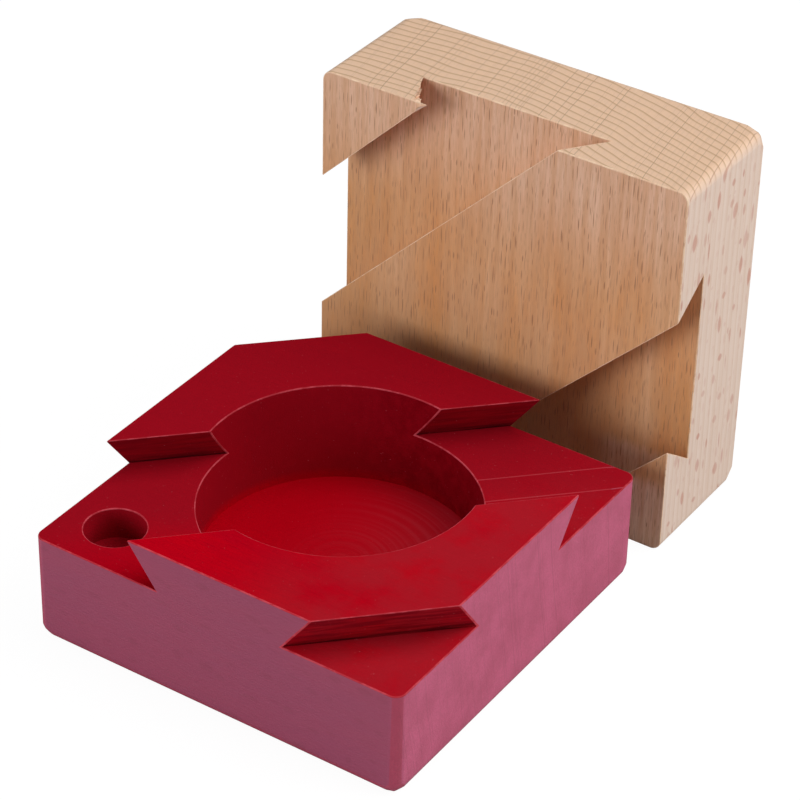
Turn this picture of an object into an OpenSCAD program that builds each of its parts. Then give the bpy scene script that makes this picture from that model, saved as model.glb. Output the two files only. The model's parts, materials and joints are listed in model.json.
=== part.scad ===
// Dovetail puzzle box: two solid beech halves that slide together along a
// diagonal, round a hidden pocket, and are locked by a loose gravity pin.
//
// The red base half lies flat with its joint face up. The natural half stands
// on one side face behind it. The origin is the centre of the base's underside.

/* [Block] */
// Side of the square block
block_w = 75; // [60:1:100]
// Thickness of the base half below its rails
base_slab_h = 21.4; // [18:0.2:30]
// Thickness of the lid half below its rail
lid_slab_h = 20.6; // [18:0.2:30]
// Radius of the rounded upright corners
corner_r = 2; // [1:0.1:4]
// Radius of the rounded outer edges
edge_r = 2.4; // [0.8:0.1:3]

/* [Dovetail] */
// Height of the rails, which is also the depth of the grooves
rail_h = 8; // [6:0.5:10]
// Lean of the rail's sides from upright
rail_lean = 27.5; // [10:0.5:30]
// From the diagonal to a base rail's inner top edge
rail_inner = 14.3; // [12:0.1:16]
// From the diagonal to a base rail's outer top edge
rail_outer = 40.8; // [36:0.1:42]
// Clearance between the two halves, on the faces that guide the slide
slide_gap = 0.15; // [0.1:0.05:0.3]
// Clearance past the base rails' outer faces, which only hook under
outer_gap = 0.8; // [0.2:0.1:1.2]

/* [Pocket] */
// Diameter of the hidden pocket
pocket_d = 50; // [30:1:52]
// Wood left under the pocket
pocket_floor_h = 9.4; // [5:0.2:12]

/* [Lock] */
// Diameter of the lock hole and of the pin's bore
lock_d = 11; // [9:0.5:12]
// From each side of the block to the lock hole's centre
lock_inset = 9.9; // [8:0.1:11]
// Length of the straight wall of the lock hole
lock_hole_h = 6.2; // [5:0.1:9]
// Length of the pin
pin_len = 12; // [10:0.5:13]
// Clearance round the pin, on its radius
pin_gap = 0.08; // [0.02:0.01:0.1]
// Chamfer at each end of the pin
pin_chamfer = 0.6; // [0.3:0.1:1]

/* [Layout] */
// Whether the two halves are apart or slid together
arrangement = "apart"; // [apart, closed]
// From the middle of the base to the standing half's joint face
stand_y = 45.8; // [44.5:0.1:80]
// From the middle of the base to the standing half's left side
stand_x = -36.2; // [-60:0.1:20]

/* [Hidden] */
$fn = 96;

half_w = block_w / 2;
base_h = base_slab_h + rail_h;
lid_h = lid_slab_h + rail_h;
undercut = rail_h * tan(rail_lean);
groove_inner = rail_inner + undercut;
groove_outer = rail_outer - undercut;
reach = block_w;
pin_r = lock_d / 2 - pin_gap;
pin_bore_h = pin_len + 1;
pin_recess = 0.4;
drill_point_h = lock_d / 2 * tan(31);
over = 1;

// A square with round corners, centred on the origin
module rounded_square(w, h, r) {
    square([w - 2 * r, h], center = true);
    square([w, h - 2 * r], center = true);
    for (x = [-1, 1], y = [-1, 1])
        translate([x * (w / 2 - r), y * (h / 2 - r)]) circle(r);
}

// A block standing on z = 0 with round upright corners, whose underside has
// round edges too. The rounding at the top is cut off by using a taller block
module rounded_block(h) {
    tall = 2 * h;
    intersection() {
        linear_extrude(h) rounded_square(block_w, block_w, corner_r);
        translate([0, 0, tall / 2]) rotate([90, 0, 0])
            linear_extrude(block_w + 2 * over, center = true)
                rounded_square(block_w, tall, edge_r);
        translate([0, 0, tall / 2]) rotate([90, 0, 90])
            linear_extrude(block_w + 2 * over, center = true)
                rounded_square(block_w, tall, edge_r);
    }
}

// The solid swept along the block's diagonal by a profile whose x is the
// distance from the diagonal and whose y is the height
module along_diagonal(profile) {
    rotate([90, 0, 135])
        linear_extrude(2 * reach, center = true) polygon(profile);
}

// The right half of a profile, and its mirror image, as one closed outline
function both_sides(side) = concat(
    side,
    [for (i = [len(side) - 1:-1:0]) [-side[i][0], side[i][1]]]
);

// The base: two rails that are wider at the top, with a groove between them
base_profile = both_sides([
    [groove_inner, base_slab_h],
    [rail_inner, base_h],
    [rail_outer, base_h],
    [groove_outer, base_slab_h],
    [reach, base_slab_h],
    [reach, -over],
]);

// The lid: one rail in the middle, a groove on either side and raised corners,
// each drawn back from the base by its clearance
lid_profile = both_sides([
    [groove_inner - slide_gap, lid_h],
    [rail_inner - slide_gap, lid_slab_h - slide_gap],
    [rail_outer + outer_gap, lid_slab_h - slide_gap],
    [groove_outer + outer_gap, lid_h],
    [reach, lid_h],
    [reach, -over],
]);

// Red-stained half, cut from one block
module base_half() {
    color("#a00f23")
        difference() {
            intersection() {
                rounded_block(base_h);
                along_diagonal(base_profile);
            }
            translate([0, 0, pocket_floor_h])
                cylinder(h = base_h, d = pocket_d);
            translate([lock_inset - half_w, lock_inset - half_w, 0])
                lock_hole();
        }
}

// The blind hole that the pin drops into, with the cone of its drill
module lock_hole() {
    translate([0, 0, base_slab_h - lock_hole_h])
        cylinder(h = lock_hole_h + over, d = lock_d);
    translate([0, 0, base_slab_h - lock_hole_h - drill_point_h])
        cylinder(h = drill_point_h, d1 = 0, d2 = lock_d);
}

// Natural half lying on its back, joint face up, cut from one block
module lid_block() {
    difference() {
        intersection() {
            rounded_block(lid_h);
            along_diagonal(lid_profile);
        }
        translate([lock_inset - half_w, lock_inset - half_w, lid_h - pin_bore_h])
            cylinder(h = pin_bore_h + over, d = lock_d);
    }
}

// The pin, drawn back just inside its bore in the lid that lies on its back
module pin_in_bore() {
    translate([lock_inset - half_w, lock_inset - half_w, lid_h - pin_recess - pin_len]) {
        cylinder(h = pin_chamfer, r1 = pin_r - pin_chamfer, r2 = pin_r);
        translate([0, 0, pin_chamfer])
            cylinder(h = pin_len - 2 * pin_chamfer, r = pin_r);
        translate([0, 0, pin_len - pin_chamfer])
            cylinder(h = pin_chamfer, r1 = pin_r, r2 = pin_r - pin_chamfer);
    }
}

// Puts what lies on its back where the lid goes: stood on its side behind the
// base, or turned over and slid home on it
module place_lid() {
    if (arrangement == "closed")
        translate([0, 0, base_slab_h + lid_h]) rotate(180, [1, 1, 0]) children();
    else
        translate([stand_x + half_w, stand_y + lid_h, half_w])
            rotate([90, 0, 0]) children();
}

module lid_half() {
    color("#d2ac80") place_lid() lid_block();
}

// Loose gravity pin, which shows only when the lid is turned over
module lock_pin() {
    color("#b4b8bc") place_lid() pin_in_bore();
}

base_half();
lid_half();
lock_pin();
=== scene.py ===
# %% [markdown]
# # A dovetail puzzle box in red and natural beech
# The box comes apart into two solid halves of beech. One half is stained crimson
# and lies with its joint face up. The other is bare wood and stands on its side
# behind it. A small steel pin hides in the bare half and locks the two together.
#
# The shapes come from an exact CAD model, which is loaded here as a fixed frame.
# Blender adds what CAD leaves out: eased edges, torn fibres, tool marks, and the
# figure of the wood. All lengths are in metres.

# %% Start from the CAD frame
import json
import math

import bmesh
import bpy
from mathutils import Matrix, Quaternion, Vector, noise


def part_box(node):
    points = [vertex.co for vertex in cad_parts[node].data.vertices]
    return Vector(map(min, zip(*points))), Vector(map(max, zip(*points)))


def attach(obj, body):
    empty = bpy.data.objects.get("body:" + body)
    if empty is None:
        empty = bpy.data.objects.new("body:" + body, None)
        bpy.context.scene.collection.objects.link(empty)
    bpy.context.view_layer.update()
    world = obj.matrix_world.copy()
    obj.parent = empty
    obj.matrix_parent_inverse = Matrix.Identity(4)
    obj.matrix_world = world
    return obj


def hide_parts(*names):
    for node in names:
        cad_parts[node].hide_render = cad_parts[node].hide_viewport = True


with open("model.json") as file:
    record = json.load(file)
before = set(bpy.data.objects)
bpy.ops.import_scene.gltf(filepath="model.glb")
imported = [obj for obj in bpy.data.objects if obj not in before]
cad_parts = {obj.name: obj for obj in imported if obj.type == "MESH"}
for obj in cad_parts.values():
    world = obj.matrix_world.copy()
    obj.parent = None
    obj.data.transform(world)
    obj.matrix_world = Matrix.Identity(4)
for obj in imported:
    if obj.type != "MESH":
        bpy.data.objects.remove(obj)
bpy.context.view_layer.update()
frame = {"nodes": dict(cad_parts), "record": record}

MM = 0.001
scene = bpy.context.scene

# %% [markdown]
# ## The camera
# A long lens from half a metre away flattens the perspective, as in a product
# picture. The camera is placed by its direction and distance from the point that
# it looks at, because those are easier to judge than three coordinates. A track
# quaternion points it, and a last small turn about its own axis gives the roll.

# %% Place the camera
aim = Vector((-2.87, 22.51, 29.72)) * MM
azimuth, elevation, roll = math.radians(33.113), math.radians(34.496), math.radians(1.38)
back = Vector((math.sin(azimuth) * math.cos(elevation),
               -math.cos(azimuth) * math.cos(elevation),
               math.sin(elevation)))
camera = bpy.data.objects.new("camera", bpy.data.cameras.new("camera"))
camera.data.lens, camera.data.sensor_width = 140.22, 36
camera.data.clip_start = 0.01
camera.location = aim + back * 550.79 * MM
camera.rotation_mode = "QUATERNION"
camera.rotation_quaternion = back.to_track_quat("Z", "Y") @ Quaternion((0, 0, 1), roll)
scene.collection.objects.link(camera)
scene.camera = camera
print("camera at", [round(v, 3) for v in camera.location])

# %% [markdown]
# ## Floor and light
# The box stands on a plain pale floor in soft studio light. The main light is a
# large area light on the right, so the faces on that side are the brightest. A
# second one overhead fills the joint face, and a weaker, cooler one on the left
# keeps the front from going dull. Large lights near the object give soft shadows.
# The Standard view keeps the crimson as strong as it is, where the default view
# would wash it out.

# %% Lay the floor
def pale_floor():
    """A wide floor that looks nearly white, but sends back only part of the light."""
    bm = bmesh.new()
    bmesh.ops.create_grid(bm, x_segments=1, y_segments=1, size=4)
    mesh = bpy.data.meshes.new("floor")
    bm.to_mesh(mesh)
    bm.free()
    floor = bpy.data.objects.new("floor", mesh)
    scene.collection.objects.link(floor)
    paint = bpy.data.materials.new("pale_floor")
    paint.use_nodes = True
    nodes, links = paint.node_tree.nodes, paint.node_tree.links
    shader = nodes["Principled BSDF"]
    shader.inputs["Base Color"].default_value = (0.5, 0.5, 0.5, 1)
    shader.inputs["Roughness"].default_value = 0.9
    shader.inputs["Specular IOR Level"].default_value = 0.05
    glow = nodes.new("ShaderNodeEmission")
    glow.inputs["Strength"].default_value = 1.11
    seen = nodes.new("ShaderNodeLightPath")
    share = nodes.new("ShaderNodeMath")
    share.operation = "MULTIPLY"
    share.inputs[1].default_value = 0.86
    mix = nodes.new("ShaderNodeMixShader")
    links.new(seen.outputs["Is Camera Ray"], share.inputs[0])
    links.new(share.outputs[0], mix.inputs[0])
    links.new(shader.outputs[0], mix.inputs[1])
    links.new(glow.outputs[0], mix.inputs[2])
    links.new(mix.outputs[0], nodes["Material Output"].inputs["Surface"])
    mesh.materials.append(paint)
    return floor


floor = pale_floor()
print("floor laid")

# %% Hang the lights
def soft_light(name, toward, distance, width, power, colour=(1, 1, 1)):
    """A square area light in a direction from the box, aimed at it."""
    lamp = bpy.data.lights.new(name, "AREA")
    lamp.size, lamp.energy, lamp.color = width, power, colour
    light = bpy.data.objects.new(name, lamp)
    way = Vector(toward).normalized()
    light.location = aim + way * distance
    light.rotation_mode = "QUATERNION"
    light.rotation_quaternion = way.to_track_quat("Z", "Y")
    scene.collection.objects.link(light)
    return light


soft_light("main_light", (0.76, 0.36, 0.66), 0.9, 0.8, 6.8, (1.0, 0.99, 0.97))
soft_light("top_light", (0.05, 0.05, 1.0), 0.9, 0.6, 2.0)
soft_light("left_fill", (-0.4, -1.0, 0.22), 1.0, 0.6, 6.3, (0.95, 0.97, 1.0))

# %% Light the room
def studio_world():
    """White behind everything, and a weak cool light from all round."""
    world = bpy.data.worlds.new("studio")
    scene.world = world
    world.use_nodes = True
    nodes, links = world.node_tree.nodes, world.node_tree.links
    room = nodes["Background"]
    room.inputs["Color"].default_value = (0.92, 0.95, 1.0, 1)
    room.inputs["Strength"].default_value = 0.2
    white = nodes.new("ShaderNodeBackground")
    white.inputs["Color"].default_value = (1, 1, 1, 1)
    seen = nodes.new("ShaderNodeLightPath")
    mix = nodes.new("ShaderNodeMixShader")
    links.new(seen.outputs["Is Camera Ray"], mix.inputs[0])
    links.new(room.outputs[0], mix.inputs[1])
    links.new(white.outputs[0], mix.inputs[2])
    links.new(mix.outputs[0], nodes["World Output"].inputs["Surface"])


studio_world()
scene.view_settings.view_transform = "Standard"

# %% [markdown]
# ## Small helpers for nodes
# A material here is many small nodes, and writing each one out in full would hide
# the idea. `put` adds a node and sets or links its sockets by name, `calc` adds a
# Math node, `product` multiplies, `between` eases a value from 0 to 1 between two
# limits, and `tint` mixes two colours. `cloud` is a soft noise, `stretch` draws a
# pattern out along an axis, and `mark` reads a number that the faces carry.

# %% Node helpers
def plug(tree, value, socket):
    """Links an output to a socket, or sets the socket to a plain value."""
    if isinstance(value, bpy.types.NodeSocket):
        tree.links.new(value, socket)
    else:
        socket.default_value = value


def put(tree, kind, settings=(), **sockets):
    made = tree.nodes.new("ShaderNode" + kind)
    for name, value in dict(settings).items():
        setattr(made, name, value)
    for name, value in sockets.items():
        plug(tree, value, made.inputs[name.replace("_", " ")])
    return made


def calc(tree, operation, *values):
    made = put(tree, "Math", {"operation": operation})
    for value, socket in zip(values, made.inputs):
        plug(tree, value, socket)
    return made.outputs[0]


def product(tree, first, *others):
    for other in others:
        first = calc(tree, "MULTIPLY", first, other)
    return first


def between(tree, value, low, high, ends=(0, 1)):
    made = put(tree, "MapRange", {"interpolation_type": "SMOOTHSTEP"}, Value=value,
               From_Min=low, From_Max=high, To_Min=ends[0], To_Max=ends[1])
    return made.outputs[0]


def tint(tree, share, first, second):
    made = put(tree, "Mix", {"data_type": "RGBA"})
    for value, index in ((share, 0), (first, 6), (second, 7)):
        if isinstance(value, tuple) and len(value) == 3:
            value = (*value, 1)
        plug(tree, value, made.inputs[index])
    return made.outputs[2]


def stretch(tree, vector, scale):
    """The same vector with each part times its own factor."""
    made = put(tree, "VectorMath", {"operation": "MULTIPLY"})
    tree.links.new(vector, made.inputs[0])
    made.inputs[1].default_value = scale
    return made.outputs[0]


def cloud(tree, vector, detail, roughness=0.5, scale=1.0):
    made = put(tree, "TexNoise", Vector=vector, Scale=scale, Detail=detail, Roughness=roughness)
    return made.outputs[0]


def mark(tree, name):
    """A number that each face of the piece carries."""
    return put(tree, "Attribute", {"attribute_name": name}).outputs["Fac"]


print("node helpers ready")

# %% Start a node group
def new_group(name, inputs, outputs):
    """An empty node group with named sockets, and its input and output nodes."""
    group = bpy.data.node_groups.new(name, "ShaderNodeTree")
    for label, kind, default in inputs:
        socket = group.interface.new_socket(label, in_out="INPUT", socket_type="NodeSocket" + kind)
        if default is not None:
            socket.default_value = default
    for label in outputs:
        group.interface.new_socket(label, in_out="OUTPUT", socket_type="NodeSocketFloat")
    return group, group.nodes.new("NodeGroupInput"), group.nodes.new("NodeGroupOutput")


print("group starter ready")

# %% [markdown]
# ## The figure of beech
# Beech is told by its rays: thin ribbons that run out from the heart of the tree.
# Cut across, they are short dark dashes. Cut along, they are broad flecks. Seen
# from the end of the grain, they are fine lines that cross the growth rings.
#
# A picture stretched over each face would not join up at the edges. So the wood is
# made as a solid, in a group that knows only three directions: X across the rays,
# Y out from the heart and Z along the grain. Every face then shows the right cut.
# Each ray is the middle of a Voronoi cell, narrowed to a lens. It leans a little out
# of Y, which is what ends the flecks on the quarter-cut face.

# %% One layer of rays
def ray_layer(tree, across, along, cell, lens):
    """Lens-shaped marks, one to a cell. Sizes are (across, along) in mm."""
    place = put(tree, "CombineXYZ", X=calc(tree, "DIVIDE", across, cell[0]),
                Y=calc(tree, "DIVIDE", along, cell[1]))
    cells = put(tree, "TexVoronoi", {"voronoi_dimensions": "2D"}, Vector=place.outputs[0],
                Scale=1.0, Randomness=0.95)
    middle = put(tree, "VectorMath", {"operation": "SUBTRACT"})
    tree.links.new(place.outputs[0], middle.inputs[0])
    tree.links.new(cells.outputs["Position"], middle.inputs[1])
    offset = put(tree, "SeparateXYZ", Vector=middle.outputs[0])
    chance = put(tree, "SeparateColor", Color=cells.outputs["Color"])
    width = calc(tree, "MULTIPLY_ADD", chance.outputs[0], lens[0] / cell[0], 0.4 * lens[0] / cell[0])
    height = calc(tree, "MULTIPLY_ADD", chance.outputs[1], lens[1] / cell[1], 0.4 * lens[1] / cell[1])
    aside = calc(tree, "ABSOLUTE", calc(tree, "DIVIDE", offset.outputs[0], width))
    upward = calc(tree, "POWER", calc(tree, "ABSOLUTE", calc(tree, "DIVIDE", offset.outputs[1], height)), 2.0)
    shape = between(tree, calc(tree, "ADD", aside, upward), 1.0, 0.45)
    return calc(tree, "MULTIPLY", shape, calc(tree, "MULTIPLY_ADD", chance.outputs[2], 0.6, 0.4))


# %% The whole figure as a group
def make_beech_figure():
    tree, given, out = new_group(
        "beech_figure",
        [("Vector", "Vector", None), ("Ring Width", "Float", 1.85), ("Ray Lean", "Float", 0.16)],
        ["Rays", "Fine Rays", "Ring Line", "Ring Tone", "Fibre", "Streak", "Mottle"])
    vector = given.outputs["Vector"]
    sway = calc(tree, "SUBTRACT", cloud(tree, stretch(tree, vector, (0.05, 0.05, 0.008)), 2.0), 0.5)
    x, y, z = put(tree, "SeparateXYZ", Vector=vector).outputs
    lean = calc(tree, "MULTIPLY", y, given.outputs["Ray Lean"])
    across = calc(tree, "ADD", calc(tree, "ADD", x, lean), product(tree, sway, 1.6))
    tree.links.new(ray_layer(tree, across, z, (0.85, 4.6), (0.12, 1.7)), out.inputs["Rays"])
    elsewhere = calc(tree, "ADD", across, 71.3)
    tree.links.new(ray_layer(tree, elsewhere, z, (0.45, 2.8), (0.07, 1.1)), out.inputs["Fine Rays"])
    bow = calc(tree, "DIVIDE", calc(tree, "POWER", calc(tree, "ADD", x, 14.0), 2.0), 260.0)
    depth = calc(tree, "ADD", calc(tree, "ADD", y, bow), product(tree, sway, 4.0))
    year = calc(tree, "FRACT", calc(tree, "DIVIDE", depth, given.outputs["Ring Width"]))
    line = product(tree, between(tree, year, 0.66, 0.93), between(tree, year, 1.0, 0.96))
    tree.links.new(line, out.inputs["Ring Line"])
    tree.links.new(between(tree, year, 0.1, 0.95), out.inputs["Ring Tone"])
    for label, scale, detail in (("Fibre", (4.5, 4.5, 0.2), 4.0), ("Streak", (1.1, 1.1, 0.045), 3.0),
                                 ("Mottle", (0.16, 0.12, 0.03), 3.0)):
        drawn = cloud(tree, stretch(tree, vector, scale), detail, 0.6)
        tree.links.new(between(tree, drawn, 0.3, 0.7), out.inputs[label])
    return tree


beech_figure = make_beech_figure()
print("beech figure:", len(beech_figure.nodes), "nodes")

# %% [markdown]
# ## Worn edges and painted highlights
# Handling rubs the sharp edges first, so they are paler than the faces. Part of that
# paleness is a painted highlight, the light that a rounded edge catches. The eased
# edges of each piece carry an attribute, 1 on the narrow faces and 0 elsewhere.
# This group breaks that up with noise, so the pale line comes and goes.

# %% Worn edges and painted highlights as a group
def make_edge_wear_and_highlight():
    tree, given, out = new_group(
        "edge_wear_and_highlight", [("Vector", "Vector", None), ("Edge", "Float", 0.0), ("Least", "Float", 0.45)], ["Wear"])
    # Rubbed paler, and partly a painted highlight: the pale line stands in for light caught by the edge.
    rub = cloud(tree, given.outputs["Vector"], 4.0, 0.65, scale=0.35)
    kept = calc(tree, "MAXIMUM", between(tree, rub, 0.35, 0.6), given.outputs["Least"])
    tree.links.new(product(tree, given.outputs["Edge"], kept), out.inputs["Wear"])
    return tree


edge_wear_and_highlight = make_edge_wear_and_highlight()
print("edge wear ready")

# %% [markdown]
# ## Materials
# Both halves are the same wood, so both use the same figure. Coordinates are the
# object's own, turned so that the group's Z runs along the grain of that half, and
# scaled to millimetres. The outer faces are sanded and paler, and on the red half part
# of that paleness is a painted sheen. The cut faces of the joint are richer in colour,
# so each half has two materials.

# %% Start a wood material
def start_wood(name, turn, roughness, specular):
    """A material with its figure, its wear with painted edge highlight, and shader nodes in place."""
    material = bpy.data.materials.new(name)
    material.use_nodes = True
    tree = material.node_tree
    shader = tree.nodes["Principled BSDF"]
    shader.inputs["Roughness"].default_value = roughness
    shader.inputs["Specular IOR Level"].default_value = specular
    own = put(tree, "TexCoord")
    wood = put(tree, "Mapping", Vector=own.outputs["Object"], Rotation=turn, Scale=(1 / MM, 1 / MM, 1 / MM))
    figure = put(tree, "Group", {"node_tree": beech_figure}, Vector=wood.outputs[0])
    wear_and_highlight = put(tree, "Group", {"node_tree": edge_wear_and_highlight}, Vector=wood.outputs[0],
               Edge=mark(tree, "eased_edge"))
    return material, tree, shader, figure.outputs, wear_and_highlight.outputs[0]


def layer(tree, colour, *steps):
    """Lays one tint after another over a colour. A step is a mask, its strength and a colour."""
    for mask, strength, over in steps:
        colour = tint(tree, product(tree, mask, strength), colour, over)
    return colour


def spot_on_piece(tree):
    """The place on the piece in millimetres, as a vector and as its X, Y and Z."""
    own = put(tree, "TexCoord").outputs["Object"]
    spot = put(tree, "Mapping", Vector=own, Scale=(1 / MM, 1 / MM, 1 / MM)).outputs[0]
    return spot, *put(tree, "SeparateXYZ", Vector=spot).outputs


def raise_grain(tree, shader, height, distance):
    bump = put(tree, "Bump", Height=height, Strength=1.0, Distance=distance)
    tree.links.new(bump.outputs[0], shader.inputs["Normal"])


print("wood starter ready")

# %% [markdown]
# ## Natural beech
# The cut faces of the joint are fresh and warm. Their colour also carries painted light
# and shade: paler near the top, darker orange low toward the foot of the standing half,
# where the red half shades it, and pale again on the small raised corner, as if lit.
# The sanded faces are cream, apart from the end grain on top, where the growth rings
# show as lines and the rays cross them.

# %% Natural beech: painted light and shade by height
STANDING = (0.0, 0.0, 0.0)


def paint_light_and_shade_by_height(tree, colour):
    """Painted light near the top, painted shade low near the foot, and painted light again on the small
    raised corner.
    """
    spot, x, y, z = spot_on_piece(tree)
    # Painted light: paler toward the top.
    colour = tint(tree, between(tree, z, 46.0, 72.0, (0, 0.7)), colour, (0.90, 0.62, 0.47))
    # Painted shade: darker orange low down, beside the red half.
    low = product(tree, between(tree, z, 44.0, 14.0, (0, 0.65)), between(tree, x, 31.0, 22.0))
    colour = tint(tree, low, colour, (0.56, 0.22, 0.07))
    # Painted light: paler on the small raised corner near the foot.
    painted_light_heel = product(tree, between(tree, z, 16.0, 12.0), between(tree, x, 18.0, 26.0))
    return tint(tree, painted_light_heel, colour, (0.92, 0.68, 0.50))


# %% Natural beech: the cut faces of the joint
def beech_cut_faces():
    material, tree, shader, figure, wear_and_highlight = start_wood("beech_cut", STANDING, 0.55, 0.25)
    colour = tint(tree, figure["Ring Tone"], (0.83, 0.49, 0.265), (0.78, 0.44, 0.225))
    colour = layer(tree, colour, (figure["Mottle"], 0.85, (0.74, 0.31, 0.09)))
    colour = paint_light_and_shade_by_height(tree, colour)
    colour = layer(tree, colour,
                   (figure["Streak"], 0.5, (0.62, 0.29, 0.12)),
                   (figure["Fibre"], 0.35, (0.58, 0.32, 0.17)),
                   (figure["Fine Rays"], 0.45, (0.42, 0.20, 0.10)),
                   (figure["Rays"], 0.8, (0.36, 0.16, 0.08)))
    # The eased edges are painted paler: part wear, part painted highlight.
    tree.links.new(tint(tree, wear_and_highlight, colour, (0.93, 0.68, 0.47)), shader.inputs["Base Color"])
    raise_grain(tree, shader, figure["Fibre"], 0.03 * MM)
    return material


# %% Natural beech: the sanded outer faces
def beech_outer_faces():
    material, tree, shader, figure, wear_and_highlight = start_wood("beech_outer", STANDING, 0.5, 0.3)
    end = mark(tree, "end_grain")
    fleck = tint(tree, end, (0.58, 0.24, 0.17), (0.40, 0.25, 0.16))
    colour = tint(tree, end, (0.83, 0.66, 0.565), (0.82, 0.555, 0.375))
    colour = layer(tree, colour,
                   (figure["Ring Tone"], 0.25, (0.74, 0.49, 0.33)),
                   (figure["Streak"], 0.3, (0.70, 0.50, 0.38)),
                   (figure["Ring Line"], between(tree, end, 0.0, 1.0, (0.15, 0.95)), (0.56, 0.35, 0.20)),
                   (figure["Fine Rays"], 0.2, fleck),
                   (figure["Rays"], 0.75, fleck),
                   # The eased edges are painted paler: part wear, part painted highlight.
                   (wear_and_highlight, 0.6, (0.92, 0.76, 0.60)))
    tree.links.new(colour, shader.inputs["Base Color"])
    raise_grain(tree, shader, figure["Fibre"], 0.02 * MM)
    return material


beech_cut, beech_outer = beech_cut_faces(), beech_outer_faces()
print("natural beech:", beech_cut.name, beech_outer.name)

# %% [markdown]
# ## Crimson stain
# The stain sinks in and hides most of the figure, but the rays still show as darker
# ticks. This half lies down, with its grain along X, so its coordinates are turned.
# The cut faces are a deep clear red with no shine. They aren't even: fine sanding
# dust hazes the right side, where painted shade also darkens it, the boring bit left
# rings on the pocket's floor, and painted shade darkens the top toward the back, where
# the standing half shades it. Painted shade also darkens the foot of the undercut sides
# and the pocket's wall, most toward the right, among its scrapes. These marks are
# placed in millimetres on the piece. The outer faces are sanded, and their dull pink
# veil is partly a painted sheen of reflected light. Their end grain is painted lighter still, as if lit.

# %% Crimson: dust haze with painted shade, and the bit's rings on the pocket's floor
LYING = (0.0, math.radians(-90), math.radians(-90))
pocket = next(mount for mount in frame["record"]["mounts"] if mount["name"] == "hidden_pocket")
POCKET_FLOOR = pocket["pos_m"][2] / MM - pocket["dims"]["length_mm"] / 2
print("pocket floor at", round(POCKET_FLOOR, 2), "mm")


def dusted_shaded_and_bored(tree, colour, spot, x, y, z):
    on_floor = between(tree, z, POCKET_FLOOR + 0.2, POCKET_FLOOR + 0.1)
    colour = tint(tree, on_floor, colour, (0.50, 0.0006, 0.0085))
    patches = cloud(tree, spot, 4.0, 0.6, scale=0.11)
    # Dust haze, partly painted shade: it also darkens the right side of the cut faces.
    dust_haze_and_shade = product(tree, between(tree, x, -2.0, 24.0), between(tree, patches, 0.2, 0.65))
    radius = calc(tree, "SQRT", calc(tree, "ADD", calc(tree, "POWER", x, 2.0), calc(tree, "POWER", y, 2.0)))
    turns = put(tree, "TexNoise", {"noise_dimensions": "1D"}, Scale=0.9, Detail=3.0, W=radius).outputs[0]
    rings = product(tree, on_floor, between(tree, x, -16.0, 12.0),
                    between(tree, turns, 0.38, 0.66, (0.25, 0.6)))
    return layer(tree, colour, (dust_haze_and_shade, 0.9, (0.38, 0.011, 0.020)), (rings, 1.0, (0.50, 0.024, 0.038)))


# %% Crimson: painted shade at the back, streaks and painted shade on the undercut sides, scrapes and painted shade on the pocket's wall
def painted_shade_streaks_and_scrapes(tree, colour, spot, x, y, z):
    # Painted shade: darker toward the back, where the standing half shades the top faces.
    behind = product(tree, between(tree, calc(tree, "SUBTRACT", y, x), -20.0, 6.0),
                     between(tree, z, POCKET_FLOOR + 0.2, POCKET_FLOOR + 2.6))
    undercut = mark(tree, "undercut")
    drag = cloud(tree, stretch(tree, spot, (0.12, 0.12, 1.6)), 4.0)
    streaks = between(tree, drag, 0.35, 0.65, (0.0, 0.75))
    # Painted shade: a dark band low on each undercut side, by the groove's floor, where shadow falls under
    # the rail.
    foot = product(tree, between(tree, z, 23.4, 21.8), between(tree, drag, 0.3, 0.6, (0.35, 0.85)))
    scuff = cloud(tree, stretch(tree, spot, (0.5, 0.5, 0.35)), 5.0, 0.65)
    rough = between(tree, scuff, 0.3, 0.7, (0.5, 0.85))
    # Scrapes, and painted shade: the pocket's wall darkens most toward the right and least on the left wall,
    # which faces the light.
    scrapes_and_painted_shade = product(tree, rough, between(tree, x, -22.0, 2.0, (0.15, 1.0)))
    return layer(tree, colour,
                 (behind, 0.85, (0.30, 0.005, 0.013)),
                 (undercut, streaks, (0.20, 0.003, 0.010)),
                 (undercut, foot, (0.05, 0.002, 0.005)),
                 (mark(tree, "bored"), scrapes_and_painted_shade, (0.16, 0.0, 0.004)))


# %% Crimson: the cut faces
def crimson_cut_faces():
    material, tree, shader, figure, wear_and_highlight = start_wood("crimson_cut", LYING, 0.6, 0.0)
    place = spot_on_piece(tree)
    colour = tint(tree, figure["Mottle"], (0.53, 0.0004, 0.0075), (0.46, 0.0004, 0.009))
    colour = layer(tree, colour,
                   (figure["Fibre"], 0.3, (0.34, 0.001, 0.01)),
                   (figure["Rays"], 0.25, (0.20, 0.0, 0.006)))
    colour = dusted_shaded_and_bored(tree, colour, *place)
    colour = painted_shade_streaks_and_scrapes(tree, colour, *place)
    grit = between(tree, cloud(tree, place[0], 3.0, 0.7, scale=1.7), 0.66, 0.80, (0, 0.55))
    # Edges and ridges painted paler: part wear, part painted highlight.
    rubbed_and_highlighted = calc(tree, "MAXIMUM", wear_and_highlight, product(tree, mark(tree, "ridge"), 0.4))
    colour = layer(tree, colour, (grit, 1.0, (0.62, 0.16, 0.19)), (rubbed_and_highlighted, 0.7, (0.66, 0.10, 0.13)))
    tree.links.new(colour, shader.inputs["Base Color"])
    raise_grain(tree, shader, figure["Fibre"], 0.03 * MM)
    return material


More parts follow.
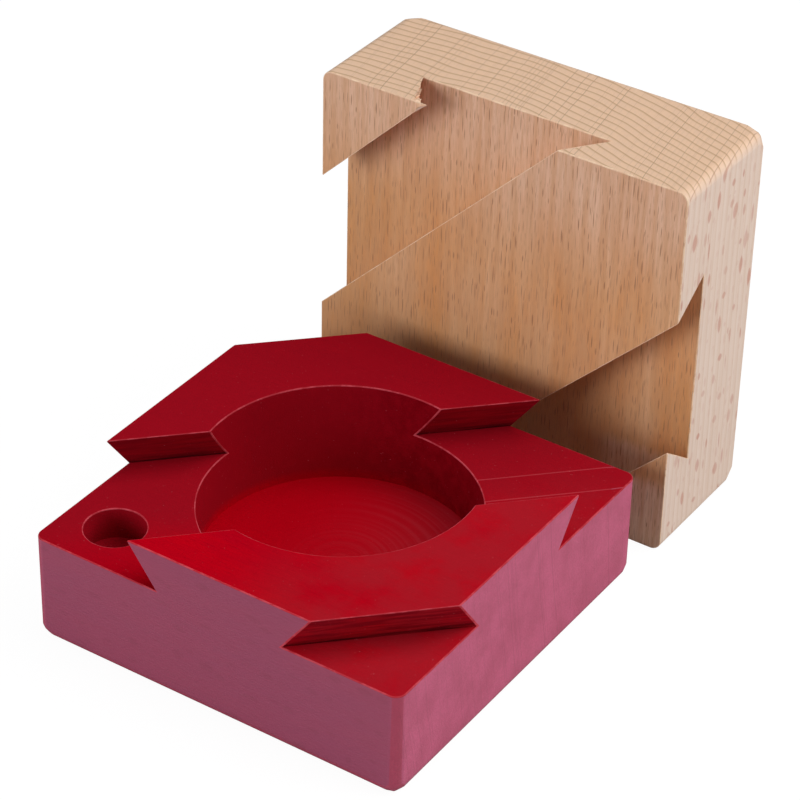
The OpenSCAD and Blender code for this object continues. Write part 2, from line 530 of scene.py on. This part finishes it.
# %% Crimson: the sanded outer faces
def crimson_outer_faces():
    material, tree, shader, figure, wear_and_highlight = start_wood("crimson_outer", LYING, 0.5, 0.3)
    # Painted light and sheen: the end grain, the visible side that faces the main light, is painted about
    # twice as bright as the side grain, and the pale pink of both stands partly for sheen.
    colour = tint(tree, mark(tree, "end_grain"), (0.325, 0.060, 0.118), (0.66, 0.130, 0.245))
    colour = layer(tree, colour,
                   (figure["Mottle"], 0.4, (0.38, 0.06, 0.11)),
                   (mark(tree, "rounded"), 0.6, (0.46, 0.045, 0.08)),
                   (figure["Fibre"], 0.35, (0.33, 0.055, 0.10)),
                   (figure["Rays"], 0.3, (0.26, 0.045, 0.08)),
                   # Edges painted paler: part wear, part painted highlight.
                   (wear_and_highlight, 0.7, (0.72, 0.16, 0.20)))
    tree.links.new(colour, shader.inputs["Base Color"])
    raise_grain(tree, shader, figure["Fibre"], 0.03 * MM)
    return material


crimson_cut, crimson_outer = crimson_cut_faces(), crimson_outer_faces()
print("crimson stain:", crimson_cut.name, crimson_outer.name)

# %% [markdown]
# ## From a CAD node to a wooden block
# A CAD node's mesh is loose triangles. A copy of it is welded, and triangles that
# lie in one plane are joined into one face, so that the real edges can be found by
# the angle between faces.

# %% Weld a copy of a node
def welded_copy(node):
    bm = bmesh.new()
    bm.from_mesh(frame["nodes"][node].data)
    bmesh.ops.remove_doubles(bm, verts=bm.verts, dist=0.002 * MM)
    bmesh.ops.dissolve_limit(bm, angle_limit=math.radians(0.4), verts=bm.verts, edges=bm.edges)
    print(node, "welded:", len(bm.verts), "points,", len(bm.faces), "faces,",
          sum(not e.is_manifold for e in bm.edges), "open edges")
    return bm


# %% [markdown]
# ## Sanded corners
# Sanding by hand leaves the outermost corners of each block rounder than its edges.
# The same is done here: nine small flat cuts on each corner, all tangent to an egg
# shape that fits inside it. Each cut is a bisect that clears the outside, and the
# hole it leaves is closed with one face. Many shallow cuts look round, and unlike a
# wide bevel they can't overlap the narrow faces beside them.

# %% Make one sanding cut
TOUCH = 0.001 * MM


def sanding_cut(bm, point, normal):
    everything = bm.verts[:] + bm.edges[:] + bm.faces[:]
    cut = bmesh.ops.bisect_plane(bm, geom=everything, plane_co=point, plane_no=normal,
                                 dist=TOUCH, clear_outer=True)
    rim = [g for g in cut["geom_cut"] if isinstance(g, bmesh.types.BMEdge) and g.is_boundary]
    if rim:
        bmesh.ops.contextual_create(bm, geom=rim)


# %% Sand round one corner
EGG_OUT, EGG_ALONG, EGG_BACK = 3.5 * MM, 2.5 * MM, 5.0 * MM
EGG_INSET = 4.3 * MM


def sand_corner(bm, corner, out, back, amount):
    """Out points away from the block's middle line, and back away from its joint."""
    along = out.cross(back)
    centre = corner - (out * EGG_INSET + back * EGG_BACK) * amount
    for swing in map(math.radians, (-26, 0, 26)):
        level = out * math.cos(swing) + along * math.sin(swing)
        for lift in map(math.radians, (18, 40, 62)):
            normal = level * math.cos(lift) + back * math.sin(lift)
            reach = Vector((EGG_OUT * normal.dot(out), EGG_ALONG * normal.dot(along),
                            EGG_BACK * normal.dot(back))).length
            sanding_cut(bm, centre + normal * reach * amount, normal)


# %% Sand the four corners away from the joint
def sand_corners(bm, node, joint_side, amount):
    low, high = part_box(node)
    depth, joint_sign = joint_side
    sides = [axis for axis in range(3) if axis != depth]
    back = Vector((0, 0, 0))
    back[depth] = -joint_sign
    for first in (-1, 1):
        for second in (-1, 1):
            corner, out = Vector(low), Vector((0, 0, 0))
            for axis, sign in ((sides[0], first), (sides[1], second), (depth, -joint_sign)):
                corner[axis] = high[axis] if sign > 0 else low[axis]
            out[sides[0]], out[sides[1]] = first, second
            sand_corner(bm, corner, out.normalized(), back, amount)
    print(node, "open edges after sanding:", sum(not e.is_manifold for e in bm.edges))


# %% [markdown]
# ## Eased edges and marked faces
# No wooden edge is perfectly sharp, so the sharp ones of the joint get a narrow
# bevel, which catches the light. Edges that lie between two outside faces are
# left alone, since they are rounded already. Every face is then smooth, and only
# edges past a set angle stay hard. Last, each face is told apart as sanded skin or
# cut wood, and gets the marks that its material reads.

# %% Find the sanded skin
SKIN = 2.6 * MM


def on_skin(face, node, joint_side):
    """Whether a face belongs to the outside of the block, and not to its joint side."""
    low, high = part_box(node)
    middle, normal = face.calc_center_median(), face.normal
    for axis in range(3):
        for sign, wall in ((-1, low[axis]), (1, high[axis])):
            faces_out = (axis, sign) != joint_side and sign * normal[axis] > 0.05
            if faces_out and abs(middle[axis] - wall) < SKIN:
                return True
    return False


# %% Ease the sharp edges
SHARP, HARD = math.radians(30), math.radians(42)


def ease_edges(bm, width, skip=lambda edge: False):
    edge_mark = bm.faces.layers.float.new("eased_edge")
    sharp = [e for e in bm.edges if e.is_convex and e.calc_face_angle() > SHARP and not skip(e)]
    made = bmesh.ops.bevel(bm, geom=sharp, offset=width, offset_type="OFFSET", segments=2,
                           profile=0.5, affect="EDGES", clamp_overlap=False, material=-1)
    narrow = set(made["faces"])
    for face in bm.faces:
        face[edge_mark] = 1.0 if face in narrow else 0.0
        face.smooth = True
    for edge in bm.edges:
        edge.smooth = edge.is_manifold and edge.calc_face_angle() < HARD
    print("eased", len(sharp), "edges into", len(narrow), "faces")


# %% Tell the sanded skin from the cut faces
def mark_faces(bm, node, joint_side, grain):
    """Sets each face's material, 0 outer and 1 cut, and its marks for the shaders."""
    floats = bm.faces.layers.float
    marks = {name: floats.new(name) for name in ("end_grain", "undercut", "rounded", "bored")}
    edge_mark = floats["eased_edge"]
    axis, sign = joint_side
    for face in bm.faces:
        outer, eased, normal = on_skin(face, node, joint_side), face[edge_mark], face.normal
        upright = abs(normal[axis]) < 0.01
        face.material_index = 0 if outer and not eased else 1
        face[marks["end_grain"]] = abs(normal[grain])
        face[marks["rounded"]] = 1.0 if outer and max(map(abs, normal)) < 0.97 else 0.0
        face[marks["undercut"]] = 1.0 if not outer and sign * normal[axis] < -0.2 else 0.0
        face[marks["bored"]] = 1.0 if upright and not outer and not eased else 0.0
    print(node, "has", sum(f.material_index for f in bm.faces), "cut faces of", len(bm.faces))


# %% [markdown]
# ## Pieces
# A piece rides on its body, so that it moves with the joint, and it replaces the
# CAD node that it came from. The Weighted Normal modifier shades each corner by its
# largest face, which keeps the broad faces flat beside their narrow smooth edges.

# %% Turn a bmesh into a piece
def wooden_piece(bm, name, node, body, materials):
    mesh = bpy.data.meshes.new(name)
    bm.to_mesh(mesh)
    bm.free()
    if "custom_normal" in mesh.attributes:
        mesh.attributes.remove(mesh.attributes["custom_normal"])
    piece = bpy.data.objects.new(name, mesh)
    scene.collection.objects.link(piece)
    for material in materials:
        mesh.materials.append(material)
    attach(piece, body)
    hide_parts(node)
    even = piece.modifiers.new("even_shading", "WEIGHTED_NORMAL")
    even.keep_sharp = True
    print(name, "has", len(mesh.polygons), "faces")
    return piece


# %% [markdown]
# ## The red half
# It is one block with two dovetail rails, a groove between them, a round pocket and
# a drilled lock hole. All of that is in the CAD shape already. What it lacks is two
# fine ridges on the groove's floor, from the pocket to the far corner, such as a
# nicked cutter leaves. The floor is split by planes, three to a ridge, and the
# points on the middle one are lifted.

# %% Find the groove's floor
SLIDE, ASIDE = Vector((1, 1, 0)).normalized(), Vector((-1, 1, 0)).normalized()


def groove_floor(bm):
    """The level faces between the rails, beyond the pocket."""
    found = []
    for face in bm.faces:
        middle = face.calc_center_median()
        if face.normal.z > 0.99 and abs(middle.dot(ASIDE)) < 16 * MM and middle.dot(SLIDE) > 18 * MM:
            found.append(face)
    return found


# %% Raise the router's ridges
def raise_ridges(bm, apart, width, height, start=29 * MM, end=47.5 * MM):
    """Two ridges at the same distance either side of the diagonal. They fade past both ends."""
    ridge_mark = bm.faces.layers.float.new("ridge")
    cuts = [(SLIDE, start), (SLIDE, end)]
    cuts += [(ASIDE, sign * apart + step * width) for sign in (-1, 1) for step in (-1, 0, 1)]
    for normal, distance in cuts:
        faces = groove_floor(bm)
        around = faces + [e for f in faces for e in f.edges] + [v for f in faces for v in f.verts]
        bmesh.ops.bisect_plane(bm, geom=list(dict.fromkeys(around)), plane_co=normal * distance,
                               plane_no=normal, dist=TOUCH)
    crest = {v for f in groove_floor(bm) for v in f.verts
             if abs(abs(v.co.dot(ASIDE)) - apart) < 0.01 * MM
             and start - 0.1 * MM < v.co.dot(SLIDE) < end + 0.1 * MM}
    for vert in crest:
        vert.co.z += height
        for face in vert.link_faces:
            face[ridge_mark] = 1.0 if face.calc_area() < 8 * MM * MM else 0.0
    print("ridge points raised:", len(crest))


# %% Make the red half
red_joint = (2, 1)


def outside_of_red(edge):
    return all(on_skin(face, "base_half", red_joint) for face in edge.link_faces)


red_block = welded_copy("base_half")
sand_corners(red_block, "base_half", red_joint, 0.8)
raise_ridges(red_block, apart=3.2 * MM, width=0.14 * MM, height=0.08 * MM)
ease_edges(red_block, 0.2 * MM, outside_of_red)
mark_faces(red_block, "base_half", red_joint, grain=0)
red_half = wooden_piece(red_block, "red_half", "base_half", "base",
                        [crimson_outer, crimson_cut])

# %% [markdown]
# ## The natural half
# The thin lip at the top end is torn, because the fibres there had nothing behind
# them when the groove was cut. A strip is cut free along the lip on both of
# its faces, so that the broad faces beside it stay flat. The lip's edge is then
# divided, and each point is moved in and down by noise at its own place, which
# gives the same ragged line on every run.

# %% Find the lip
def upper_left_lip(bm, top):
    """The longest very acute edge on the top face, at the left."""
    lips = [e for e in bm.edges if e.is_convex and e.calc_face_angle() > math.radians(100)
            and all(abs(v.co.z - top) < 0.01 * MM and v.co.x < -10 * MM for v in e.verts)]
    return max(lips, key=lambda e: e.calc_length())


# %% Tear the lip
def tear_lip(bm, top):
    """Breaks the lip into ragged steps. Returns the moved points."""
    lip = upper_left_lip(bm, top)
    start, end = (v.co.copy() for v in sorted(lip.verts, key=lambda v: v.co.y))
    upper, under = sorted(lip.link_faces, key=lambda f: -f.normal.z)
    inward = Vector((0, 0, 1)).cross(end - start).normalized()
    if inward.x > 0:
        inward.negate()
    for face, way, depth in ((upper, inward, 2.2 * MM), (under, Vector((0, 0, -1)), 2.8 * MM)):
        bmesh.ops.bisect_plane(bm, geom=[face, *face.edges, *face.verts], plane_co=start + way * depth,
                               plane_no=way, dist=TOUCH)
    strips = list(lip.link_faces)
    made = bmesh.ops.subdivide_edges(bm, edges=[lip], cuts=17)
    torn = {g for g in made["geom_inner"] if isinstance(g, bmesh.types.BMVert)}
    bmesh.ops.triangulate(bm, faces=strips)
    for vert in torn:
        step = noise.noise(vert.co / (0.7 * MM)) * 0.5 + 0.5
        chip = noise.noise(vert.co / (1.9 * MM) + Vector((7, 3, 5))) * 0.5 + 0.5
        vert.co += inward * (0.1 + 3.0 * step * chip) * MM
        vert.co.z -= (0.1 + 0.9 * step) * MM
    print("torn lip:", round((end - start).length / MM, 1), "mm,", len(torn), "points")
    return torn


# %% Make the natural half
plain_joint = (1, -1)
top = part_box("lid_half")[1][2]
plain_block = welded_copy("lid_half")
sand_corners(plain_block, "lid_half", plain_joint, 0.95)
torn = tear_lip(plain_block, top)


def torn_or_outside(edge):
    return any(v in torn for v in edge.verts) or all(
        on_skin(face, "lid_half", plain_joint) for face in edge.link_faces)


ease_edges(plain_block, 0.2 * MM, torn_or_outside)
for vert in plain_block.verts:
    vert.co.z = min(vert.co.z, top)
mark_faces(plain_block, "lid_half", plain_joint, grain=2)
natural_half = wooden_piece(plain_block, "natural_half", "lid_half", "lid",
                            [beech_outer, beech_cut])

# %% [markdown]
# ## The lock pin
# A short turned steel pin lies in its bore in the natural half. Turning leaves fine
# rings round it, which are a bump that changes only along its length.

# %% Turned steel
def turned_steel():
    material = bpy.data.materials.new("pin_steel")
    material.use_nodes = True
    tree = material.node_tree
    shader = tree.nodes["Principled BSDF"]
    shader.inputs["Metallic"].default_value = 1.0
    own = put(tree, "TexCoord")
    along = put(tree, "Mapping", Vector=own.outputs["Object"], Scale=(0, 9000, 0))
    rings = put(tree, "TexNoise", Vector=along.outputs[0], Scale=1.0, Detail=3.0)
    colour = tint(tree, rings.outputs[0], (0.52, 0.53, 0.54), (0.66, 0.67, 0.68))
    tree.links.new(colour, shader.inputs["Base Color"])
    tree.links.new(between(tree, rings.outputs[0], 0.3, 0.7, (0.22, 0.38)), shader.inputs["Roughness"])
    raise_grain(tree, shader, rings.outputs[0], 0.01 * MM)
    return material


# %% Make the pin
pin_metal = welded_copy("lock_pin")
ease_edges(pin_metal, 0.05 * MM)
lock_pin = wooden_piece(pin_metal, "steel_pin", "lock_pin", "pin", [turned_steel()])
